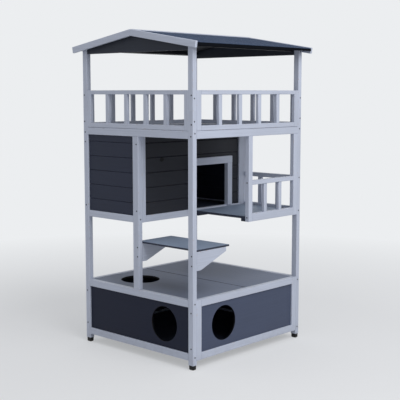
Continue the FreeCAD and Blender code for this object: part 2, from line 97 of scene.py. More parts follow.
def as_mesh(name, draft):
    """Turns a mesh in the making into a finished mesh with its faces outwards."""
    bmesh.ops.recalc_face_normals(draft, faces=draft.faces)
    mesh = bpy.data.meshes.new(name)
    draft.to_mesh(mesh)
    draft.free()
    return mesh


def eased_mesh(name, draft, ease):
    """Rounds all the sharp edges of a mesh in the making and finishes it."""
    bmesh.ops.recalc_face_normals(draft, faces=draft.faces)
    ease_edges(draft, sharp_edges(draft), ease)
    return as_mesh(name, draft)


def sawn(sticks):
    """A mesh in the making of separate sticks with sharp edges, each given by its corners."""
    draft = bmesh.new()
    for corners in sticks:
        bmesh.ops.convex_hull(draft, input=[draft.verts.new(corner) for corner in corners])
    bmesh.ops.dissolve_limit(draft, angle_limit=flat_angle, verts=draft.verts, edges=draft.edges)
    return draft


def join_meshes(name, meshes):
    """One mesh of several separate ones."""
    draft = bmesh.new()
    for mesh in meshes:
        draft.from_mesh(mesh)
    return as_mesh(name, draft)


def direction(edge):
    """Which way an edge runs."""
    return (edge.verts[1].co - edge.verts[0].co).normalized()


def cut_timber(name, sticks, ease, end_ease=sawn_end_ease):
    """A mesh of separate sticks: their long edges are rounded, and their ends a little."""
    planed = []
    for corners in sticks:
        draft = sawn([corners])
        run = direction(max(draft.edges, key=lambda edge: edge.calc_length()))
        sharp = sharp_edges(draft)
        long_edges = [edge for edge in sharp if abs(direction(edge).dot(run)) > along_run]
        ease_edges(draft, long_edges, ease)
        ease_edges(draft, sharp_edges(draft), end_ease)
        planed.append(as_mesh(name, draft))
    return join_meshes(name, planed)


def stick_numbers(mesh):
    """A number for every vertex that says which of the mesh's separate sticks it belongs to."""
    ends = np.empty(len(mesh.edges) * 2, int)
    mesh.edges.foreach_get("vertices", ends)
    ends = ends.reshape(-1, 2)
    number = np.arange(len(mesh.vertices))
    settled = False
    while not settled:
        lowest = number[ends].min(axis=1)
        joined = number.copy()
        np.minimum.at(joined, ends[:, 0], lowest)
        np.minimum.at(joined, ends[:, 1], lowest)
        joined = joined[joined]
        settled = bool((joined == number).all())
        number = joined
    return number


def mark_faces(mesh, name, values):
    """Stores a number for every face, which a material can read by its name."""
    mesh.attributes.new(name, "FLOAT", "FACE").data.foreach_set("value", values)


def lay_grain(mesh):
    """Gives each stick its run of grain, its tone and its worn edges, for the paint to read."""
    points = np.empty(len(mesh.vertices) * 3)
    mesh.vertices.foreach_get("co", points)
    points = points.reshape(-1, 3)
    number = stick_numbers(mesh)
    grain = np.empty_like(points)
    tone = np.empty(len(points))
    for one in np.unique(number):
        mine = number == one
        longest_first = np.argsort(-np.ptp(points[mine], axis=0))
        offset = [draws.uniform(0.0, grain_spread) for _ in range(3)]
        grain[mine] = points[mine][:, longest_first] + offset
        tone[mine] = draws.uniform(-1.0, 1.0)
    arris = []
    for face in mesh.polygons:
        corners = points[list(face.vertices)]
        outline = np.linalg.norm(corners - np.roll(corners, 1, axis=0), axis=1).sum()
        face.use_smooth = bool(2.0 * face.area / outline < arris_width)
        arris.append(1.0 if face.use_smooth else 0.0)
    mesh.attributes.new("grain", "FLOAT_VECTOR", "POINT").data.foreach_set("vector", grain.ravel())
    mesh.attributes.new("tone", "FLOAT", "POINT").data.foreach_set("value", tone)
    mark_faces(mesh, "arris", arris)
    mark_faces(mesh, "upward", [face.normal.z for face in mesh.polygons])


class Wire:
    """One socket of a node tree: arithmetic on it adds Math nodes, and add() any other node."""

    def __init__(self, tree, socket=None):
        self.tree = tree
        self.socket = socket

    def add(self, kind, settings=None, inputs=None, output=0):
        """A new node with these settings and socket values or links. Gives one output."""
        node = self.tree.nodes.new(kind)
        for name, value in (settings or {}).items():
            setattr(node, name, value)
        for name, value in (inputs or {}).items():
            if isinstance(value, Wire):
                self.tree.links.new(value.socket, node.inputs[name])
            else:
                node.inputs[name].default_value = value
        return Wire(self.tree, node.outputs[output])

    def maths(self, operation, *terms):
        return self.add("ShaderNodeMath", {"operation": operation}, dict(enumerate(terms)))

    def __add__(self, other):
        return self.maths("ADD", self, other)

    def __radd__(self, other):
        return self.maths("ADD", other, self)

    def __sub__(self, other):
        return self.maths("SUBTRACT", self, other)

    def __rsub__(self, other):
        return self.maths("SUBTRACT", other, self)

    def __mul__(self, other):
        return self.maths("MULTIPLY", self, other)

    def __rmul__(self, other):
        return self.maths("MULTIPLY", other, self)

    def __gt__(self, other):
        return self.maths("GREATER_THAN", self, other)


def held(wire):
    """A value kept between 0 and 1."""
    return wire.add("ShaderNodeClamp", inputs={"Value": wire})


def above(wire, level, steepness):
    """0 up to a level of a value, then rising to 1."""
    return held((wire - level) * steepness)


def swing(wire, amount):
    """A value between 0 and 1 as one that swings to both sides of 0."""
    return (wire - 0.5) * amount


def vector_maths(operation, first, second, output=0):
    """An operation on two vectors."""
    settings = {"operation": operation}
    return first.add("ShaderNodeVectorMath", settings, {0: first, 1: second}, output)


def stretched(vector, fineness):
    """Coordinates drawn finer or coarser along each of their axes."""
    return vector_maths("MULTIPLY", vector, fineness)


def length_of(vector):
    """How long a vector is."""
    return vector_maths("LENGTH", vector, (0.0, 0.0, 0.0), "Value")


def mottle(vector, scale=1.0, detail=2.0):
    """Soft noise between 0 and 1."""
    inputs = {"Vector": vector, "Scale": scale, "Detail": detail}
    return vector.add("ShaderNodeTexNoise", inputs=inputs, output="Fac")


def cells(vector, scale, output):
    """Grains or spots scattered over a surface: the distance from their middles, or their colours."""
    return vector.add("ShaderNodeTexVoronoi", inputs={"Vector": vector, "Scale": scale}, output=output)


def channel(colour, name):
    """One channel of a colour."""
    return colour.add("ShaderNodeSeparateColor", inputs={"Color": colour}, output=name)


def part_along(vector, axis):
    """One part of a vector."""
    return vector.add("ShaderNodeSeparateXYZ", inputs={"Vector": vector}, output=axis)


def marked(wire, name, output="Fac"):
    """What is stored on the mesh under a name."""
    return wire.add("ShaderNodeAttribute", {"attribute_name": name}, output=output)


def place_on_house(wire):
    """Where on the house a point is."""
    return wire.add("ShaderNodeTexCoord", output="Object")


def mixed(factor, first, second):
    """One colour laid over another by a factor."""
    return factor.add("ShaderNodeMix", {"data_type": "RGBA"}, {0: factor, 6: first, 7: second}, 2)


def shaded(colour, lightness):
    """A colour made lighter or darker by a varying value."""
    inputs = {0: colour[:3], "Scale": lightness}
    return lightness.add("ShaderNodeVectorMath", {"operation": "SCALE"}, inputs)


def colour_of(red, green, blue):
    """A colour on the usual 0 to 255 scale, as the linear value that shaders take."""
    linear = []
    for level in (red, green, blue):
        part = level / 255.0
        linear.append(part / 12.92 if part <= 0.04045 else ((part + 0.055) / 1.055) ** 2.4)
    return (*linear, 1.0)


def new_finish(name, gloss=0.5):
    """An empty material: gives it with its shader and a wire to start from."""
    material = bpy.data.materials.new(name)
    material.use_nodes = True
    shader = material.node_tree.nodes["Principled BSDF"]
    shader.inputs["Specular IOR Level"].default_value = gloss
    return material, shader, Wire(material.node_tree)


def dress(shader, colour, roughness, relief, relief_height):
    """Leads the colour, the roughness and a height map to a shader."""
    inputs = {"Height": relief, "Distance": relief_height}
    bump = relief.add("ShaderNodeBump", inputs=inputs, output="Normal")
    for wire, socket in ((colour, "Base Color"), (roughness, "Roughness"), (bump, "Normal")):
        wire.tree.links.new(wire.socket, shader.inputs[socket])


bare_pine = colour_of(186, 150, 108)
soil = colour_of(96, 84, 66)
# Painted shade: near-black for the walls of the round holes, which lie in shade.
shade_black_edge = colour_of(12, 13, 17)
knot_black = colour_of(0, 1, 3)
fibre_grid = (10.0, 520.0, 520.0)
streak_grid = (2.6, 120.0, 120.0)
ring_grid = (0.035, 1.0, 1.0)
ring_waves = {"Scale": 58.0, "Distortion": 9.0, "Detail": 3.0}
knot_grid = (10.0, 17.0, 17.0)
knot_rarity = 0.86
knot_fall = 7.0
chip_grid = (70.0, 210.0, 210.0)
splash_fade = 9.0
dark_knot_shape = (1.0, 0.9, 1.1)
dark_knot_radius = 0.0135
dark_knot_sharpness = 400.0
paint_relief = 0.00022


def painted_wood(
    name, paint, roughness=0.46, gloss=0.15, grain_shows=0.9, chipping=0.22, dark_knot=None, top_coat_and_sheen=None
):
    """Paint on softwood: fibres, growth rings and knots show through, and edges chip a little."""
    material, shader, wood = new_finish(name, gloss)
    grain = marked(wood, "grain", "Vector")
    arris = marked(wood, "arris")
    place = place_on_house(wood)

    fibres = mottle(stretched(grain, fibre_grid), detail=3.0)
    streaks = mottle(stretched(grain, streak_grid), detail=4.0)
    rings = wood.add(
        "ShaderNodeTexWave",
        {"wave_type": "BANDS", "bands_direction": "Y"},
        {"Vector": stretched(grain, ring_grid), **ring_waves},
        "Fac",
    )
    knot_field = stretched(grain, knot_grid)
    knot_here = channel(cells(knot_field, 1.0, "Color"), "Red") > knot_rarity
    knots = held(1.0 - cells(knot_field, 1.0, "Distance") * knot_fall) * knot_here
    cloud = mottle(place, 7.0)
    peel = mottle(place, 1100.0, 1.0)
    chips = above(mottle(stretched(grain, chip_grid), detail=4.0), 0.60, 10.0) * arris * chipping
    near_ground = held(1.0 - part_along(place, "Z") * splash_fade)
    splash = near_ground * above(mottle(place, 38.0, 5.0), 0.42, 3.0)

    lightness = (
        1.0
        + marked(wood, "tone") * 0.035
        + swing(fibres, 0.20 * grain_shows)
        + swing(streaks, 0.22 * grain_shows)
        + swing(rings, 0.05 * grain_shows)
        + swing(cloud, 0.14)
        - knots * (0.30 * grain_shows)
        + arris * 0.05
    )
    coat = shaded(paint, lightness)
    # The coat on faces that look up is a lighter grey paint and also a painted sheen on the tops.
    if top_coat_and_sheen:
        top_and_sheen_mask = above(marked(wood, "upward"), 0.9, 12.0)
        coat = mixed(top_and_sheen_mask, coat, shaded(top_coat_and_sheen, lightness))
    if dark_knot:
        from_knot = stretched(vector_maths("SUBTRACT", place, dark_knot), dark_knot_shape)
        ragged = length_of(from_knot) + swing(mottle(place, 190.0), 0.006)
        in_knot = held((dark_knot_radius - ragged) * dark_knot_sharpness)
        coat = mixed(in_knot, coat, knot_black)
    # Painted shade: the walls of round holes are near-black.
    coat = mixed(marked(wood, "hole_edge"), coat, shade_black_edge)
    dusty = mixed(splash * 0.22, coat, soil)
    dress(
        shader,
        mixed(chips, dusty, bare_pine),
        roughness + swing(fibres, 0.22) + swing(cloud, 0.12) + chips * 0.25 + splash * 0.12,
        fibres * 0.55 + streaks * 0.3 + rings * 0.18 + peel * 0.16 + knots * 0.5 - chips * 0.6,
        paint_relief * grain_shows,
    )
    return material


pale_paint = painted_wood(
    "pale grey paint", colour_of(184, 191, 207), roughness=0.44, gloss=0.5, grain_shows=1.0, chipping=0.5
)


def linked(name, data):
    """A new object in the scene."""
    item = bpy.data.objects.new(name, data)
    scene.collection.objects.link(item)
    return item


def hang(mesh, material, node):
    """Puts a finished mesh on the house in the place of its CAD node."""
    mesh.materials.clear()
    mesh.materials.append(material)
    piece = linked("finished_" + node, mesh)
    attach(piece, "root")
    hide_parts(node)


def hang_grained(mesh, node, material=pale_paint):
    """Lays the grain of a wooden mesh and hangs it on the house."""
    lay_grain(mesh)
    hang(mesh, material, node)


def hang_timber(node, sticks, ease, material=pale_paint, slot="pale_paint", end_ease=sawn_end_ease):
    """Cuts a node's sticks and hangs them on the house."""
    hang_grained(cut_timber(node, sticks, ease, end_ease), node, material)


def hang_stick(node, ease, *finish):
    """Cuts and hangs a node that is one squared stick or board."""
    hang_timber(node, [stick(*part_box(node))], ease, *finish)


for corner in ("front_left", "front_right", "back_left", "back_right"):
    hang_stick(corner + "_post", post_ease)

post_low, post_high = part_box("front_right_post")
upper_low, upper_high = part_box("upper_posts")
post_top_outside = down_slope(upper_high.z, post_high.x - post_low.x)
upper_sticks = []
for across in left_and_right:
    for front, back in ((post_low.y, post_high.y), (-post_high.y, -post_low.y)):
        outline = [
            (across * post_low.x, upper_low.z),
            (across * post_high.x, upper_low.z),
            (across * post_high.x, post_top_outside),
            (across * post_low.x, upper_high.z),
        ]
        upper_sticks.append(run_along_y(outline, front, back))
hang_timber("upper_posts", upper_sticks, post_ease)


# Feet: moulded black plastic glides pressed on to the ends of the posts. Each has rounded corners,
# a chamfer at the floor and a fine parting line round its middle where the mould's halves met.
foot_corner = 0.0028
foot_corner_steps = 5
foot_crease = 28.0
foot_levels_and_insets = (
    (0.0000, 0.0032),
    (0.0007, 0.0024),
    (0.0028, 0.0006),
    (0.0042, 0.0002),
    (0.0106, 0.0001),
    (0.0109, 0.0005),
    (0.0113, 0.0005),
    (0.0116, 0.0001),
    (0.0208, 0.0000),
    (0.0216, 0.0003),
    (0.0220, 0.0009),
)
quarter_turns = ((1, 1, 0.0), (0, 1, 90.0), (0, 0, 180.0), (1, 0, 270.0))


def rounded_loop(ends_x, ends_y, inset, z):
    """A foot's outline at one level, inside a rectangle by an inset."""
    margin = inset + foot_corner
    centres_x = (ends_x[0] + margin, ends_x[1] - margin)
    centres_y = (ends_y[0] + margin, ends_y[1] - margin)
    loop = []
    for side_x, side_y, start in quarter_turns:
        for step in range(foot_corner_steps + 1):
            angle = math.radians(start + 90.0 * step / foot_corner_steps)
            x = centres_x[side_x] + foot_corner * math.cos(angle)
            y = centres_y[side_y] + foot_corner * math.sin(angle)
            loop.append((x, y, z))
    return loop


def lofted(*forms):
    """A mesh in the making of closed forms, each skinned over its outlines and capped at the ends."""
    draft = bmesh.new()
    for outlines in forms:
        rings = [[draft.verts.new(point) for point in outline] for outline in outlines]
        for lower, upper in zip(rings, rings[1:]):
            for index in range(len(lower)):
                after = (index + 1) % len(lower)
                draft.faces.new((lower[index], lower[after], upper[after], upper[index]))
        draft.faces.new(list(reversed(rings[0])))
        draft.faces.new(rings[-1])
    return draft


def smooth_below(mesh, degrees):
    """Smooth shading that still breaks at sharp edges."""
    mesh.polygons.foreach_set("use_smooth", [True] * len(mesh.polygons))
    mesh.set_sharp_from_angle(angle=math.radians(degrees))


def moulded_plastic():
    """Black plastic with a fine spark texture, scuffed and dusty where it meets the ground."""
    material, shader, plastic = new_finish("black moulded plastic", gloss=0.3)
    place = place_on_house(plastic)
    spark = mottle(place, 1500.0)
    scuff = above(mottle(stretched(place, (90.0, 90.0, 260.0)), detail=4.0), 0.55, 5.0)
    near_ground = held(1.0 - part_along(place, "Z") * 110.0)
    dust = near_ground * above(mottle(place, 160.0, 4.0), 0.35, 3.0)
    black = shaded(colour_of(16, 16, 17), 0.85 + spark * 0.3)
    scuffed = mixed(scuff * 0.25, black, colour_of(52, 52, 54))
    dusty = mixed(dust * 0.3, scuffed, soil)
    dress(shader, dusty, 0.48 + spark * 0.12 + dust * 0.2, spark + scuff * 0.4, 0.00008)
    return material


foot_low, foot_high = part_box("post_feet")
foot_inset = post_high.x - foot_high.x
feet = []
for across in left_and_right:
    for along in (-1.0, 1.0):
        ends_x = sorted((across * (post_low.x + foot_inset), across * foot_high.x))
        ends_y = sorted((along * (-post_high.y + foot_inset), along * -foot_low.y))
        feet.append([rounded_loop(ends_x, ends_y, inset, z) for z, inset in foot_levels_and_insets])
feet_mesh = as_mesh("post_feet", lofted(*feet))
smooth_below(feet_mesh, foot_crease)
hang(feet_mesh, moulded_plastic(), "post_feet")


# Base frame: rails screwed between the posts at the front and back, and a framed side of two
# stiles and two rails at the left and right. Planed softwood, painted before it is put together.
frame_ease = 0.0026
base_stile = 0.033
base_rail = 0.034


def hang_side_frame(node, front_stile, back_stile, low_rail, high_rail=None):
    """A frame along Y: two stiles, a bottom rail between them, and a top rail if it has one."""
    low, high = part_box(node)
    front = low.y + front_stile
    back = high.y - back_stile
    members = [
        stick(low, (high.x, front, high.z)),
        stick((low.x, back, low.z), high),
        stick((low.x, front, low.z), (high.x, back, low.z + low_rail)),
    ]
    if high_rail:
        members.append(stick((low.x, front, high.z - high_rail), (high.x, back, high.z)))
    hang_timber(node, members, frame_ease)


for side in ("front", "back"):
    for level in ("bottom", "top"):
        hang_stick(f"base_{side}_{level}_rail", frame_ease)
for side in ("left", "right"):
    hang_side_frame(f"base_{side}_frame", base_stile, base_stile, base_rail, base_rail)


# Base panels: 9 mm plywood in slate paint, let into grooves in the rails. The front and the right
# one have a round door, routed through and rounded over, its wall painted near-black as painted
# shade. The front one is painted darker as painted shade, and the right one lighter as painted sheen.
panel_ease = 0.0012
hole_steps = 96
flat_enough = 0.9999
no_reach = 1e-9
door_centre_z = 0.190
door_radius = 0.085
front_door_x = 0.186
right_door_y = -0.184
AXIS_X, AXIS_Y, AXIS_Z = range(3)

slate = colour_of(46, 51, 67)
slate_paint = painted_wood("slate paint", slate)
# Painted shade: darker slate for the front base panel, which faces away from the light.
shaded_front_slate_paint = painted_wood("deep slate paint", colour_of(28, 33, 51))
# Painted light: lighter slate for the right base panel, standing in for light and sheen from the right.
lit_side_slate_paint = painted_wood("faded slate paint", colour_of(72, 80, 101))


def placed(axes, values):
    """A point given by its values along three axes in any order."""
    point = [0.0, 0.0, 0.0]
    for axis, value in zip(axes, values):
        point[axis] = value
    return point


def plate_with_hole(name, axes, low, high, centre, radius, ease):
    """A flat board with a round hole: the first two axes lie in the board, the third across it."""
    first, second, normal = axes
    angles = [2.0 * math.pi * step / hole_steps for step in range(hole_steps)]
    for end_first in (low[first], high[first]):
        for end_second in (low[second], high[second]):
            to_corner = math.atan2(end_second - centre[1], end_first - centre[0])
            angles.append(to_corner % (2.0 * math.pi))
    angles.sort()
    draft = bmesh.new()

    def ring(reaches, level):
        """A loop of vertices round the centre, each at its own reach."""
        loop = []
        for angle, reach in zip(angles, reaches):
            across = centre[0] + reach * math.cos(angle)
            up = centre[1] + reach * math.sin(angle)
            loop.append(draft.verts.new(placed(axes, (across, up, level))))
        return loop

    to_edge = []
    for angle in angles:
        reaches = []
        for axis, middle, part in zip(axes, centre, (math.cos(angle), math.sin(angle))):
            if abs(part) > no_reach:
                reaches.append(((high if part > 0 else low)[axis] - middle) / part)
        to_edge.append(min(reaches))
    loops = []
    for level in (low[normal], high[normal]):
        loops.append(ring([radius] * len(angles), level))
        loops.append(ring(to_edge, level))
    inner_low, outer_low, inner_high, outer_high = loops
    walls = (
        (inner_high, outer_high),
        (inner_low, outer_low),
        (inner_low, inner_high),
        (outer_low, outer_high),
    )
    for index in range(len(angles)):
        after = (index + 1) % len(angles)
        for start, end in walls:
            draft.faces.new((start[index], end[index], end[after], start[after]))
    return eased_mesh(name, draft, ease)


def hang_holed(node, normal, centre, radius, ease, material, slot):
    """Cuts a board with a round hole, marks the edge of the hole and hangs the board."""
    first, second = [axis for axis in range(3) if axis != normal]
    mesh = plate_with_hole(node, (first, second, normal), *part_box(node), centre, radius, ease)
    lay_grain(mesh)
    hole_edge = []
    for face in mesh.polygons:
        reach = math.hypot(face.center[first] - centre[0], face.center[second] - centre[1])
        hole_edge.append(1.0 if reach < radius + ease else 0.0)
        face.use_smooth = face.use_smooth or max(abs(part) for part in face.normal) < flat_enough
    mark_faces(mesh, "hole_edge", hole_edge)
    hang(mesh, material, node)


front_door = (front_door_x, door_centre_z)
right_door = (right_door_y, door_centre_z)
for node, axis, door, paint in (
    ("base_front_panel", AXIS_Y, front_door, shaded_front_slate_paint),
    ("base_right_panel", AXIS_X, right_door, lit_side_slate_paint),
):
    hang_holed(node, axis, door, door_radius, panel_ease, paint, "slate_paint")
for node in ("base_back_panel", "base_left_panel"):
    hang_stick(node, panel_ease, slate_paint, "slate_paint")


# Floors of the base: a floor board low down and a deck of two boards on top, which drop in between
# the rails on cross bearers painted near-black as painted shade. The deck boards are well rounded
# over and leave a dark seam where they meet; the front one has a round hole that leads into the base.
floor_ease = 0.0022
deck_ease = 0.004
deck_seam = Vector((0.0, 0.004, 0.0))
deck_hole = (-0.172, -0.218)
deck_hole_radius = 0.100
bearer_width = 0.026
bearer_ease = 0.001

# Floor paint: slate, with a lighter top coat on upward faces that is partly a painted sheen.
floor_paint = painted_wood(
    "grey floor paint",
    slate,
    roughness=0.55,
    gloss=0.2,
    grain_shows=1.6,
    chipping=0.3,
    top_coat_and_sheen=colour_of(109, 118, 138),
)
# Painted shade: near-black for bearers and roof boards that lie in shade.
primer_for_painted_shade = painted_wood(
    "near-black primer", colour_of(24, 26, 32), roughness=0.6, gloss=0.1, chipping=0.15
)


def cross_bearers(low, high, bottom, top):
    """Three bearers across the house: at the front, in the middle and at the back."""
    starts = (low.y, -bearer_width / 2, high.y - bearer_width)
    return [stick((low.x, y, bottom), (high.x, y + bearer_width, top)) for y in starts]


low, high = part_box("base_bearers")
under_deck = cross_bearers(low, high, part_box("base_back_top_rail")[0].z, high.z)
under_floor = cross_bearers(low, high, low.z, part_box("base_floor")[0].z)
hang_timber("base_bearers", under_deck + under_floor, bearer_ease, primer_for_painted_shade, "slate_paint")
# The base floor is plain slate, darker than the floor grey, as painted shade inside the base.
hang_stick("base_floor", floor_ease, slate_paint, "slate_paint")
low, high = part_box("deck_back_board")
hang_timber("deck_back_board", [stick(low + deck_seam, high)], deck_ease, floor_paint, "floor_paint")
deck_cut = (deck_hole, deck_hole_radius, deck_ease)
hang_holed("deck_front_board", AXIS_Z, *deck_cut, floor_paint, "floor_paint")


# Middle post: a wider stick of planed softwood between the base and the terrace rim, where the
# cabin's front and right walls meet. It stands on the base's top rail on a hidden peg.
hang_stick("front_middle_post", post_ease)


# Step: a 9 mm plywood shelf with well rounded edges in the open bay, on two tapered brackets that
# are screwed to the backs of the front posts. The brackets are sawn from softwood with a blunt
# nose and a blunt toe.
shelf_ease = 0.0026
bracket_nose = 0.020
bracket_toe = 0.026
bracket_thickness = 0.018

low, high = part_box("step_brackets")
bracket_outline = (
    (low.y, high.z),
    (high.y, high.z),
    (high.y, high.z - bracket_nose),
    (low.y + bracket_toe, low.z),
    (low.y, low.z),
)
bracket_sticks = []
for outer in (low.x + bracket_thickness, high.x):
    faces = (outer - bracket_thickness, outer)
    bracket_sticks.append([(x, y, z) for x in faces for y, z in bracket_outline])
hang_timber("step_brackets", bracket_sticks, frame_ease, end_ease=frame_ease)
# Painted light: the shelf's top coat is lighter than the deck's, as more light falls on the step.
lit_shelf_paint = painted_wood(
    "light grey floor paint",
    slate,
    roughness=0.5,
    gloss=0.25,
    grain_shows=1.3,
    chipping=0.3,
    top_coat_and_sheen=colour_of(137, 152, 174),
)
hang_stick("step_shelf", shelf_ease, lit_shelf_paint, "floor_paint", shelf_ease)


# Cabin frame: a bottom rail at the front, and frames of stiles and a bottom rail at the left, back
# and right. Their inner edges are grooved for the boards, which run up behind the terrace rim.
cabin_rail = 0.033
cabin_stile = 0.033
wall_front_stile = 0.025
wall_rear_stile = 0.039

hang_stick("cabin_front_rail", frame_ease)
hang_side_frame("cabin_left_frame", cabin_stile, cabin_stile, cabin_rail)
low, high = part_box("cabin_back_frame")
back_members = [
    stick((high.x - cabin_stile, low.y, low.z), high),
    stick(low, (high.x - cabin_stile, high.y, low.z + cabin_rail)),
]
hang_timber("cabin_back_frame", back_members, frame_ease)
hang_side_frame("cabin_right_frame", wall_front_stile, wall_rear_stile, cabin_rail)


# Cabin boards: 10 mm softwood boards in slate paint, each lapped over the one below with a V between
# them. They slide down the grooves from above, and the top one is ripped to fit. The right wall is
# painted darker and greyer as painted shade under the terrace, with a doorway cut out and one dark knot.
board_pitch = 0.073
board_thickness = 0.010
board_lap = 0.005
board_chamfer = 0.0025
board_gap = 0.0003
board_ease = 0.0005
board_courses = 6
doorway_gap = 0.0004
overrun = 0.05
wall_knot = (0.012, -0.239, 0.9645)

# Painted shade: the right wall's slate is darker and greyer, as it lies in shade under the terrace.
shaded_knotty_paint = painted_wood("greyer slate paint", colour_of(39, 41, 48), dark_knot=wall_knot)


def geometry_tree(name, **inputs):
    """An empty geometry tree with these named inputs: gives it and a wire from each input."""
    tree = bpy.data.node_groups.new(name, "GeometryNodeTree")
    tree.is_modifier = True
    for label, kind in inputs.items():
        tree.interface.new_socket(label, in_out="INPUT", socket_type="NodeSocket" + kind)
    tree.interface.new_socket("Geometry", in_out="OUTPUT", socket_type="NodeSocketGeometry")
    source = tree.nodes.new("NodeGroupInput")
    return tree, {label: Wire(tree, source.outputs[label]) for label in inputs}


def shape_of(source):
    """The mesh of an object that a tree is given."""
    return source.add("GeometryNodeObjectInfo", inputs={"Object": source}, output="Geometry")


def real_meshes(shape):
    """Real meshes in place of instances."""
    return shape.add("GeometryNodeRealizeInstances", inputs={"Geometry": shape})


def on_points(points, shape, **more):
    """A copy of a shape on every point."""
    inputs = {"Points": points, "Instance": shape, **more}
    return points.add("GeometryNodeInstanceOnPoints", inputs=inputs)


def cut_away(shape, cutter):
    """A mesh without what lies inside another."""
    settings = {"operation": "DIFFERENCE", "solver": "EXACT"}
    return shape.add("GeometryNodeMeshBoolean", settings, {"Mesh 1": shape, "Mesh 2": cutter})


def close_tree(shape, material):
    """Ends a geometry tree: real meshes in place of instances, then their material."""
    real = real_meshes(shape)
    coated = real.add("GeometryNodeSetMaterial", inputs={"Geometry": real, "Material": material})
    result = shape.tree.nodes.new("NodeGroupOutput")
    shape.tree.links.new(coated.socket, result.inputs["Geometry"])


def grow(tree, start=None, **values):
    """Runs a geometry tree and gives the plain mesh that it makes. Its objects are given as meshes."""
    carrier = linked(tree.name, start or bpy.data.meshes.new(tree.name))
    helpers = [carrier]
    modifier = carrier.modifiers.new(tree.name, "NODES")
    modifier.node_group = tree
    for item in tree.interface.items_tree:
        if item.in_out == "INPUT" and item.name in values:
            value = values[item.name]
            if isinstance(value, bpy.types.Mesh):
                value = linked(value.name, value)
                helpers.append(value)
            modifier[item.identifier] = value
    depsgraph = bpy.context.evaluated_depsgraph_get()
    made = bpy.data.meshes.new_from_object(carrier.evaluated_get(depsgraph))
    carrier.modifiers.remove(modifier)
    for helper in helpers:
        bpy.data.objects.remove(helper)
    return made


wall_tree, wall = geometry_tree(
    "lapped wall", Board="Object", Courses="Int", Pitch="Float", Cutout="Object", Paint="Material"
)
course_rise = wall["Pitch"].add("ShaderNodeCombineXYZ", inputs={"Z": wall["Pitch"]})
course_line = {"Count": wall["Courses"], "Offset": course_rise}
course_points = course_rise.add("GeometryNodeMeshLine", inputs=course_line)
stacked = real_meshes(on_points(course_points, shape_of(wall["Board"])))
close_tree(cut_away(stacked, shape_of(wall["Cutout"])), wall["Paint"])


def hang_lapped_wall(node, depth_axis, outward, paint, cutouts=()):
    """Stacks boards up a wall, cuts them at the top and at its openings, and hangs them."""
    low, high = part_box(node)
    along_axis = AXIS_Y if depth_axis == AXIS_X else AXIS_X
    axes = (along_axis, depth_axis, AXIS_Z)
    face = high[depth_axis] if outward > 0 else low[depth_axis]
    bottom = low.z
    top = low.z + board_pitch - board_gap
    half = board_thickness / 2
    section = [
        (0.0, bottom + board_chamfer),
        (board_chamfer, bottom),
        (half, bottom),
        (half, bottom + board_lap),
        (board_thickness, bottom + board_lap),
        (board_thickness, top + board_lap),
        (half + board_gap, top + board_lap),
        (half + board_gap, top),
        (board_chamfer, top),
        (0.0, top - board_chamfer),
    ]
    ends = []
    for along in (low[along_axis], high[along_axis]):
        ends.append([placed(axes, (along, face - outward * inset, z)) for inset, z in section])
    board = eased_mesh("board", lofted(ends), board_ease)
    lid_low = low - Vector((overrun, overrun, 0.0))
    lid_low.z = high.z
    lid = stick(lid_low, high + Vector((overrun, overrun, 2 * overrun)))
    cutout = as_mesh("cutout", sawn([lid, *cutouts]))
    mesh = grow(
        wall_tree, Board=board, Courses=board_courses, Pitch=board_pitch, Cutout=cutout, Paint=paint
    )
    hang_grained(mesh, node, paint)


trim_low, trim_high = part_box("doorway_trim")
doorway_cutout = stick(
    (trim_low.x - overrun, trim_low.y - doorway_gap, trim_low.z - overrun),
    (trim_high.x + overrun, trim_high.y + doorway_gap, trim_high.z + doorway_gap),
)
hang_lapped_wall("cabin_front_boards", AXIS_Y, -1, slate_paint)
hang_lapped_wall("cabin_left_boards", AXIS_X, -1, slate_paint)
hang_lapped_wall("cabin_back_boards", AXIS_Y, 1, slate_paint)
hang_lapped_wall("cabin_right_boards", AXIS_X, 1, shaded_knotty_paint, [doorway_cutout])


# Doorway trim: two jambs and a head of planed softwood round the opening to the balcony. They
# stand 8 mm proud of the wall and are pinned to the cut ends of the boards.
trim_width = 0.035
trim_head = 0.038

jamb_top = trim_high.z - trim_head
back_jamb = trim_high.y - trim_width
trim_sticks = [
    stick(trim_low, (trim_high.x, trim_low.y + trim_width, jamb_top)),
    stick((trim_low.x, back_jamb, trim_low.z), (trim_high.x, trim_high.y, jamb_top)),
    stick((trim_low.x, trim_low.y, jamb_top), trim_high),
]
hang_timber("doorway_trim", trim_sticks, frame_ease)


# Floors of the cabin and the balcony: 12 mm boards, each on two bearers that run from front to
# back. Both are slate all over, the cabin's as painted shade inside the cabin. The balcony's has
# the step's lighter grey on its top: a grey top coat, lightened further as painted light.
# The cabin floor is plain slate as painted shade inside the cabin.
hang_stick("cabin_floor", floor_ease, slate_paint, "slate_paint")
hang_stick("balcony_floor", floor_ease, lit_shelf_paint, "floor_paint")

low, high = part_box("floor_bearers")
wall_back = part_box("cabin_right_frame")[0].x
wall_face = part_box("cabin_right_frame")[1].x
balcony_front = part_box("hanging_post")[0].y
floor_bearers = []
for x, y in (
    (low.x, low.y),
    (wall_back - bearer_width, low.y),
    (wall_face, balcony_front),
    (high.x - bearer_width, balcony_front),
):
    floor_bearers.append(stick((x, y, low.z), (x + bearer_width, high.y, high.z)))
hang_timber("floor_bearers", floor_bearers, bearer_ease, slate_paint, "slate_paint")


# Balcony: a short post that hangs from the terrace rim, and railings between it, the back post and
# the cabin. Each railing has a deep bottom rail, a slim handrail and two slender balusters.
balcony_low_rail = 0.039
balcony_handrail = 0.022
balcony_stile = 0.033
balcony_balusters = 2
baluster_width = 0.024
baluster_thickness = 0.016
baluster_ease = 0.0022
baluster_ease_steps = 3
same_place = 1e-5

